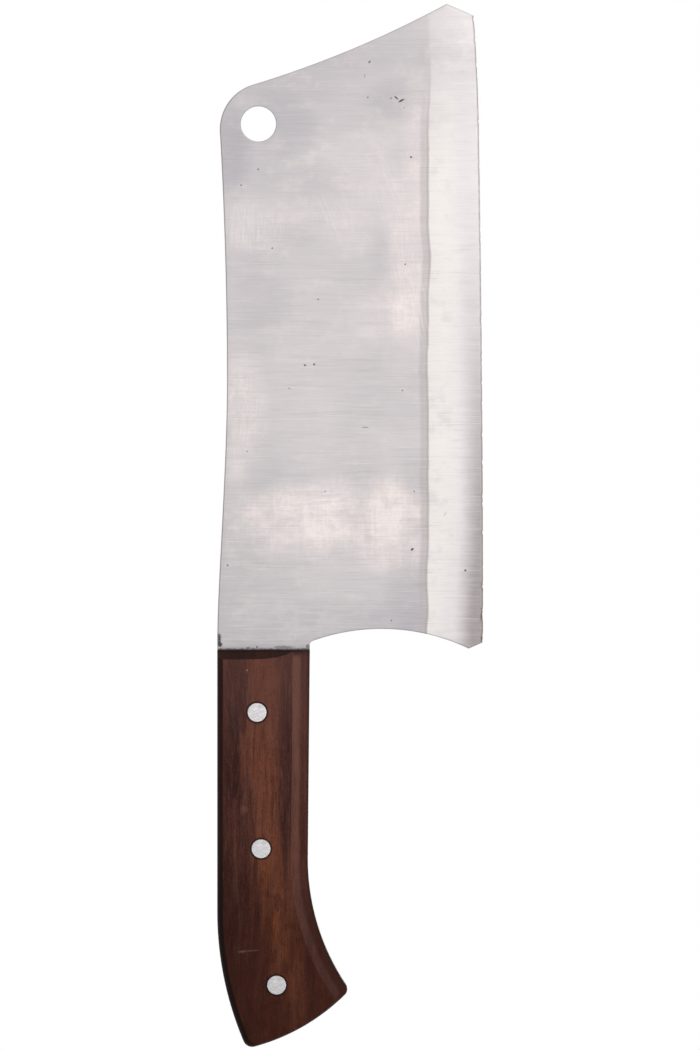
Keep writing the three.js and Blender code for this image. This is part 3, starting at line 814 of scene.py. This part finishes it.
# The outline with and without nicks, then for each point the width of its worn corner and whether it cuts
def bladeRing():
    b = bladeShape
    step = b["step"]
    heelLow = Vector((b["width"] - b["heelSetback"], b["heelRise"]))
    heel, toe = edgeEnds()
    tip = Vector((b["width"] - b["tipSetback"], b["length"]))
    deepest = Vector((b["hollowDepth"], b["hollowHeight"]))
    hollowCentre = deepest - Vector((b["hollowRadius"], 0))
    topCentre = centreOnLeft(Vector((0, b["cornerHeight"])), tip, b["topRadius"])
    topReach, hollowReach = b["topRadius"] + b["cornerRadius"], b["hollowRadius"] + b["cornerRadius"]
    corner = circlesMeet(topCentre, topReach, hollowCentre, hollowReach)
    onTop = towards(topCentre, corner, b["topRadius"])
    onSpine = towards(hollowCentre, corner, b["hollowRadius"])
    neck = handleShape["frontWidth"]
    choilCentre = centreOnLeft(heelLow, Vector((neck, b["neckRise"])), b["choilRadius"])
    filletX = neck + b["neckFillet"]
    rise = math.sqrt((b["choilRadius"] - b["neckFillet"]) ** 2 - (filletX - choilCentre.x) ** 2)
    fillet = Vector((filletX, choilCentre.y + rise))
    onNeck, onChoil = Vector((neck, fillet.y)), towards(choilCentre, fillet, b["choilRadius"])
    straightEnd = Vector((0, b["spineStraight"]))
    frontSpine, frontBelly = Vector((0, 0)), Vector((neck, 0))
    leadOut, leadIn = deepest - Vector((0, b["leadOut"])), straightEnd + Vector((0, b["leadIn"]))
    tail, _ = tailPoints()

    upper = arcPoints(corner, onTop, onSpine, b["cornerStep"])
    upper += arcPoints(hollowCentre, onSpine, deepest, b["hollowStep"], True)
    upper += bezierPoints(deepest, leadOut, leadIn, straightEnd, b["leadCount"])
    upper += linePoints(straightEnd, frontSpine, step)
    tang = linePoints(frontSpine, tail[0], b["tangStep"])[1:] + tail
    tang += linePoints(tail[-1], frontBelly, b["tangStep"])[1:]
    lower = linePoints(frontBelly, onNeck, b["neckStep"])
    lower += arcPoints(fillet, onNeck, onChoil, b["filletStep"], True)
    lower += arcPoints(choilCentre, onChoil, heelLow, step, True)
    lower += linePoints(heelLow, heel, b["heelStep"])
    edgeCount = round((toe.y - heel.y) / b["edgeStep"])
    heights = [heel.y + (toe.y - heel.y) * i / edgeCount for i in range(edgeCount)]
    wholeEdge = [Vector((edgeX(z), z)) for z in heights]
    edge = nickedEdge(wholeEdge)
    top = linePoints(toe, tip, b["toeStep"]) + arcPoints(topCentre, tip, onTop, step, True)
    before = upper + tang + lower
    widths = [b["ease"]] * len(upper) + [b["tangEase"]] * len(tang) + [b["ease"]] * len(lower)
    widths += [b["finalBevel"]] * len(edge) + [b["ease"]] * len(top)
    cutting = [False] * len(before) + [True] * len(edge) + [False] * len(top)
    return before + edge + top, before + wholeEdge + top, widths, cutting


def bladeSides(ring, whole, widths, cutting):  # rings from the front face over the worn corner to the back
    b = bladeShape
    inner = drawnIn(whole, widths)  # without the nicks, which could make it cross itself
    front, back = [], []
    for step in range(b["easeSteps"] + 1):
        share = step / b["easeSteps"]
        turn = share * math.pi / 2
        near, far = [], []
        for out, drawn, width, sharp in zip(ring, inner, widths, cutting):
            spot = drawn.lerp(out, share if sharp else math.sin(turn))
            for side, rings in ((1, near), (-1, far)):
                face = bladeHalf(drawn.x, drawn.y, side)
                wall = min(b["edgeHalf"], face) if sharp else face - min(width, face * 0.6)
                depth = face + (wall - face) * (share if sharp else 1 - math.cos(turn))
                rings.append((spot.x, side * depth, spot.y))
        front.append(near)
        back.append(far)
    return front + back[::-1]


def makeBlade(material, rivetSpots, holeRadius):
    b = bladeShape
    ring, whole, widths, cutting = bladeRing()
    outer = bladeSides(ring, whole, widths, cutting)
    hangingCentre = Vector((hanging["fromSpine"], hanging["aboveHandle"]))
    hangingRing = circleRing(hangingCentre, hanging["radius"], hanging["steps"])
    plain = [False] * hanging["steps"]
    holes = [bladeSides(hangingRing, hangingRing, [hanging["ease"]] * hanging["steps"], plain)]
    for spot in rivetSpots:
        bore = circleRing(spot, holeRadius, b["boreSteps"])
        holes.append([[(p.x, depth, p.y) for p in bore] for depth in (halfBlade, -halfBlade)])
    face = flatArray(outer[0])
    gaps = [flatArray(rings[0]) for rings in holes]
    columns, rows = [list(np.arange(*ends, b["gridStep"])) for ends in zip(b["gridFrom"], b["gridTo"])]
    columns += b["groundColumns"]
    inner = [tuple(p) for p in innerPoints(columns, rows, face, gaps, b["gridMargin"])]

    def onRim(group, level, count, i):
        return 0 < level < count - 1 and not (group == 0 and cutting[i])

    def onEdge(group, level, count, i):
        share = min(level, count - 1 - level) / b["easeSteps"]
        if group > 0 or share == 0 or not cutting[i]:
            return 0
        return b["edgeTint"] + (1 - b["edgeTint"]) * share ** 2

    piece = skinned(
        "blade_steel", outer, holes, inner, lambda x, z: bladeHalf(x, z, 1),
        inner, lambda x, z: -bladeHalf(x, z, -1), b["sharpAngle"], {"rim": onRim, "edge": onEdge},
    )
    dress(piece, "blade", material)
    print("blade:", len(piece.data.polygons), "faces")


# Scales
scaleShape = {
    "shoulderDrop": 3.0, "shoulderSteps": 16, "spineRound": 2.2, "bellyBevel": 6.0, "bellyCurve": 1.6,
    "buttRound": 1.0, "frontChamfer": 3.3, "chamferRunOut": 0.14, "crownWidth": 8.0, "crownRise": 0.3,
    "footEase": 0.12, "rimEase": 0.12, "middleShare": 0.6, "sharpAngle": 12,
    "lineStep": 2.4, "bellyLine": 0.8, "frontSteps": 30, "boreSteps": 48,
    "gridStep": 2.2, "gridFrom": (0.5, -140), "gridTo": (46, 0), "gridMargin": 0.8,
    "ridgeFrom": 2.4, "ridgeFull": 3.8, "wallSteps": 4,
}


def chamferShare(share):  # the front chamfer is filed by hand and runs out towards the belly
    return 1 - (1 - scaleShape["chamferRunOut"]) * share ** 5


def scaleRing(counts, lineCounts, spine=0, belly=0, butt=0, front=0):
    tail, _ = tailPoints(counts, spine=spine, belly=belly, butt=butt)
    frontSpine = Vector((spine, -front * chamferShare(0)))
    frontBelly = Vector((handleShape["frontWidth"] - belly, -front * chamferShare(1)))
    ring = []
    for start, end, count in ((frontSpine, tail[0], lineCounts[0]), (tail[-1], frontBelly, lineCounts[1])):
        ring.append([start.lerp(end, i / count) for i in range(count)])
    across = []
    for i in range(lineCounts[2]):
        share = 1 - i / lineCounts[2]
        x = frontSpine.x + (frontBelly.x - frontSpine.x) * share
        across.append(Vector((x, -front * chamferShare(share))))
    return ring[0] + tail[:-1] + ring[1] + across


def scaleInsets(rise):
    s = scaleShape
    bend = 1 - math.sqrt(max(0.0, 1 - rise ** 2))
    return {
        "spine": s["spineRound"] * bend, "belly": s["bellyBevel"] * rise ** s["bellyCurve"],
        "butt": s["buttRound"] * bend, "front": s["frontChamfer"] * rise,
    }


def scaleMarks(counts, lineCounts):  # where on a scale each of its painted sheen, painted shade and darker places lies
    s = scaleShape
    spineArc, lowCorner, butt, toeCorner, bellyArc = counts
    fall = [1 - i / lowCorner for i in range(lowCorner)]
    climb = [i / toeCorner for i in range(toeCorner)]
    bellyRun = bellyArc + lineCounts[1]
    spine = [1] * (lineCounts[0] + spineArc) + fall + [0] * (butt + toeCorner + bellyRun + lineCounts[2])
    belly = [0] * (lineCounts[0] + spineArc + lowCorner + butt) + climb + [1] * bellyRun + [0] * lineCounts[2]
    front = [0] * (len(spine) - lineCounts[2]) + [1] * lineCounts[2]

    def onSpine(group, level, count, i):
        return group == 0 and level > 0 and spine[i]

    def onRidge(group, level, count, i):
        if group > 0 or not 0 < level <= s["shoulderSteps"]:
            return 0
        rise = math.sin((1 - level / s["shoulderSteps"]) * math.pi / 2)
        return belly[i] * smooth(s["ridgeFrom"], s["ridgeFull"], s["bellyBevel"] * rise ** s["bellyCurve"])

    def onSide(group, level, count, i):
        return group == 0 and level > 0 and belly[i] * (1 - onRidge(group, level, count, i))

    def onFront(group, level, count, i):
        return group == 0 and level > 0 and front[i]

    def inBore(group, level, count, i):
        return group > 0 and level > 0

    def onWall(group, level, count, i):
        return group == 0 and smooth(s["shoulderSteps"] - s["wallSteps"], s["shoulderSteps"], level)

    return {
        "spineRound": onSpine, "ridge": onRidge, "frontChamfer": onFront,
        "bore": inBore, "wall": onWall, "bellySide": onSide,
    }


def makeScale(node, name, material, rivetSpots, holeRadius, mirrored):
    s = scaleShape
    _, counts = tailPoints()
    straight = handleShape["length"] - handleShape["spineSweep"]
    spineCount, bellyCount = [round(straight * share / s["lineStep"]) for share in (1, s["bellyLine"])]
    lineCounts = [spineCount, bellyCount, s["frontSteps"]]
    wall = halfHandle - s["crownRise"] - s["shoulderDrop"]
    levels = []
    for step in range(s["shoulderSteps"], -1, -1):
        rise = math.sin(step / s["shoulderSteps"] * math.pi / 2)
        levels.append((wall + s["shoulderDrop"] * rise, scaleInsets(rise)))
    foot = {"spine": s["footEase"], "belly": s["footEase"], "butt": s["footEase"], "front": 0}
    middle = wall * s["middleShare"] + halfBlade * (1 - s["middleShare"])
    levels += [(middle, {}), (halfBlade + s["footEase"], {}), (halfBlade, foot)]
    outer = []
    for depth, insets in levels:
        outer.append([(p.x, depth, p.y) for p in scaleRing(counts, lineCounts, **insets)])
    top = flatArray(outer[0])

    def crown(x, z):
        away = ringDistance(np.array([(x, z)]), top)[0]
        return halfHandle - s["crownRise"] * (1 - min(1.0, away / s["crownWidth"])) ** 2

    holes = []
    for spot in rivetSpots:
        lip = circleRing(spot, holeRadius + s["rimEase"], s["boreSteps"])
        bore = circleRing(spot, holeRadius, s["boreSteps"])
        rings = [[(p.x, crown(p.x, p.y), p.y) for p in lip]]
        rings.append([(p.x, halfHandle - s["rimEase"], p.y) for p in bore])
        rings.append([(p.x, halfBlade, p.y) for p in bore])
        holes.append(rings)
    gaps = [flatArray(rings[0]) for rings in holes]
    columns, rows = [np.arange(*ends, s["gridStep"]) for ends in zip(s["gridFrom"], s["gridTo"])]
    inner = [tuple(p) for p in innerPoints(columns, rows, top, gaps, s["gridMargin"])]
    marks = scaleMarks(counts, lineCounts)
    piece = skinned(name, outer, holes, inner, crown, [], None, s["sharpAngle"], marks, mirrored)
    dress(piece, node, material)
    print(name + ":", len(piece.data.polygons), "faces")


# Rivets: a tube with a head in front and a post with a head behind
rivetShape = {
    "headRadius": 3.375, "headThickness": 1.6, "sleeve": 2.4, "post": 1.6,
    "slack": 0.16, "endSlack": 0.5, "tangSlack": 0.1,
    "dome": 0.05, "domeRings": (0.25, 0.5, 0.75, 0.92), "rimRadius": 0.16, "rimSteps": 3,
    "steps": 72, "sharpAngle": 40,
}


def turned(name, spot, profile):  # radius and depth, from the middle of the head round to the far end
    steps = rivetShape["steps"]
    points, faces, rows = [], [], []
    for radius, depth in profile:
        if radius == 0:
            rows.append([len(points)] * steps)
            points.append((0.0, -depth * unit, 0.0))
            continue
        rows.append(list(range(len(points), len(points) + steps)))
        for i in range(steps):
            angle = 2 * math.pi * i / steps
            points.append((radius * math.cos(angle) * unit, -depth * unit, radius * math.sin(angle) * unit))
    for near, far in zip(rows, rows[1:]):
        for i in range(steps):
            after = (i + 1) % steps
            corners = [near[i], far[i], far[after], near[after]]
            faces.append(tuple(dict.fromkeys(corners)))
    mesh = newMesh(name, points, faces)
    piece = finished(name, mesh, rivetShape["sharpAngle"])
    x, _, z = place(spot.x, 0, spot.y)
    piece.location = (x, 0, z)
    return piece


def headProfile():  # slightly domed by sanding, with a worn rim
    r = rivetShape
    rim = r["rimRadius"]
    profile = [(0, halfHandle)]
    for share in r["domeRings"]:
        reach = (r["headRadius"] - rim) * share
        profile.append((reach, halfHandle - r["dome"] * share ** 2))
    for step in range(r["rimSteps"] + 1):
        turn = step / r["rimSteps"] * math.pi / 2
        drop = r["dome"] + rim * (1 - math.cos(turn))
        profile.append((r["headRadius"] - rim + rim * math.sin(turn), halfHandle - drop))
    return profile


def makeRivet(name, spot, material):
    r = rivetShape
    seat = halfHandle - r["headThickness"]
    bore = r["post"] + r["slack"]
    end = r["endSlack"] - seat
    head = headProfile() + [(r["headRadius"], seat)]
    sleeve = head + [(r["sleeve"], seat), (r["sleeve"], end), (bore, end), (bore, seat), (0, seat)]
    post = head + [(r["post"], seat), (r["post"], end), (0, end)]
    front = turned(name + "_rivet_front", spot, sleeve)
    back = turned(name + "_rivet_back", spot, post)
    back.rotation_euler = (0, 0, math.pi)
    dress(front, name + "_rivet_sleeve", material)
    dress(back, name + "_rivet_post", material)


def rivetSpot(node):
    low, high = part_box(node)
    middle = (low + high) / 2 / mm
    return Vector((middle.x + hanging["fromSpine"], middle.z + hanging["aboveHandle"]))


# Stage, light and camera
stageLook = {
    "floor": srgb(236, 236, 237), "floorDrop": 0.075, "floorRadius": 0.75, "floorSides": 96,
    "fadeFrom": 0.35, "fadeTo": 0.96,  # shares of the floor's radius
    "softFill": 0.26, "glossLow": 0.88, "glossHigh": 1.06, "sideLean": (0.8, 0.45), "sideReach": 0.7,
}
lamps = {  # the soft ones light matt surfaces only
    "key": {"at": (1.35, -1.1, 0.5), "size": (0.9, 1.2), "power": 26, "soft": True},
    "sheen": {"at": (0.9, -1.2, 0.3), "size": (0.5, 1.2), "power": 4, "soft": False},
    "top": {"at": (0.2, -0.9, 1.3), "size": (1.0, 0.7), "power": 5, "soft": True},
    "fill": {"at": (-1.1, -1.2, 0.0), "size": (0.8, 1.2), "power": 2, "soft": True},
    "back": {"at": (-0.5, 1.4, 0.5), "size": (1.2, 1.0), "power": 22, "soft": True},
}
lens = {
    "focal": 500, "sensor": 36, "clipEnd": 20,
    "imageHeight": 1050, "mmPerPixel": 228.6 / 646, "centre": (46.92, 44.2),
}


def makeFloor():
    s = stageLook
    radius, sides = s["floorRadius"], s["floorSides"]
    angles = np.linspace(0, 2 * math.pi, sides, False)
    rim = [(math.cos(a) * radius, math.sin(a) * radius, 0) for a in angles]
    mesh = newMesh("floor", rim, [tuple(range(sides))])
    floor = linked("floor", mesh)
    centre = (cadLow + cadHigh) / 2
    floor.location = (centre.x, centre.y, cadLow.z - s["floorDrop"])
    material, sh = newMaterial("paleFloor")
    x, y, _ = sh.split(sh.where())
    away = (x * x + y * y) ** 0.5
    fade = sh.ramp(away, radius * s["fadeFrom"], radius * s["fadeTo"])
    matt = sh.make("ShaderNodeBsdfDiffuse", sockets={"Color": s["floor"]})
    white = sh.make("ShaderNodeEmission", sockets={"Color": (1, 1, 1, 1), "Strength": 1.0})
    both = sh.make("ShaderNodeMixShader", sockets={0: fade, 1: matt, 2: white})
    sh.make("ShaderNodeOutputMaterial", sockets={"Surface": both})
    mesh.materials.append(material)


def makeWorld():
    s = stageLook
    world = bpy.data.worlds.new("studio")
    bpy.context.scene.world = world
    world.use_nodes = True
    sh = Shader(world.node_tree)
    camera = sh.make("ShaderNodeLightPath", output=0)
    glossy = sh.make("ShaderNodeLightPath", output=3)
    through = sh.make("ShaderNodeLightPath", output=6)
    x, _, z = sh.split(sh.make("ShaderNodeTexCoord"))
    side = sh.ramp(x * s["sideLean"][0] + z * s["sideLean"][1], -s["sideReach"], s["sideReach"])
    seen = glossy * (s["glossLow"] + side * (s["glossHigh"] - s["glossLow"]))
    shown = camera.above(through)
    plain = (1 - shown.above(glossy)) * s["softFill"]
    strength = shown + seen * (1 - shown) + plain
    back = sh.make("ShaderNodeBackground", sockets={"Color": (1, 1, 1, 1), "Strength": strength})
    sh.make("ShaderNodeOutputWorld", sockets={"Surface": back})


def makeLamps():
    middle = (cadLow + cadHigh) / 2
    for name, lamp in lamps.items():
        light = bpy.data.lights.new(name, "AREA")
        light.shape = "RECTANGLE"
        light.size, light.size_y = lamp["size"]
        light.energy = lamp["power"]
        holder = linked(name, light)
        holder.visible_glossy = not lamp["soft"]
        holder.location = middle + Vector(lamp["at"])
        holder.rotation_euler = Vector(lamp["at"]).to_track_quat("Z", "Y").to_euler()


def makeCamera():
    camera = bpy.data.cameras.new("camera")
    camera.sensor_fit = "AUTO"
    camera.sensor_width = lens["sensor"]
    camera.lens = lens["focal"]
    tall = lens["imageHeight"] * lens["mmPerPixel"] * mm
    distance = tall * lens["focal"] / lens["sensor"]
    holder = linked("camera", camera)
    x, _, z = place(lens["centre"][0], 0, lens["centre"][1])
    holder.location = (x, -distance, z)
    holder.rotation_euler = (math.pi / 2, 0, 0)
    camera.clip_end = lens["clipEnd"]
    bpy.context.scene.camera = holder


bpy.context.scene.view_settings.view_transform = "Standard"
makeCamera()
makeWorld()
makeLamps()
makeFloor()
print("stage ready")

rivetNames = ["upper", "middle", "lower"]
spots = [rivetSpot(name + "_rivet_sleeve") for name in rivetNames]
headBore = rivetShape["headRadius"] + rivetShape["slack"]
steel = steelMaterial()
wood = woodMaterial(spots, headBore)
print("materials ready")

makeBlade(steel, spots, rivetShape["sleeve"] + rivetShape["tangSlack"])
makeScale("front_scale", "front_scale_wood", wood, spots, headBore, False)
makeScale("back_scale", "back_scale_wood", wood, spots, headBore, True)
for rivetName, spot in zip(rivetNames, spots):
    makeRivet(rivetName, spot, rivetMaterial(rivetName, rivetShape["headRadius"]))
print("pieces ready")
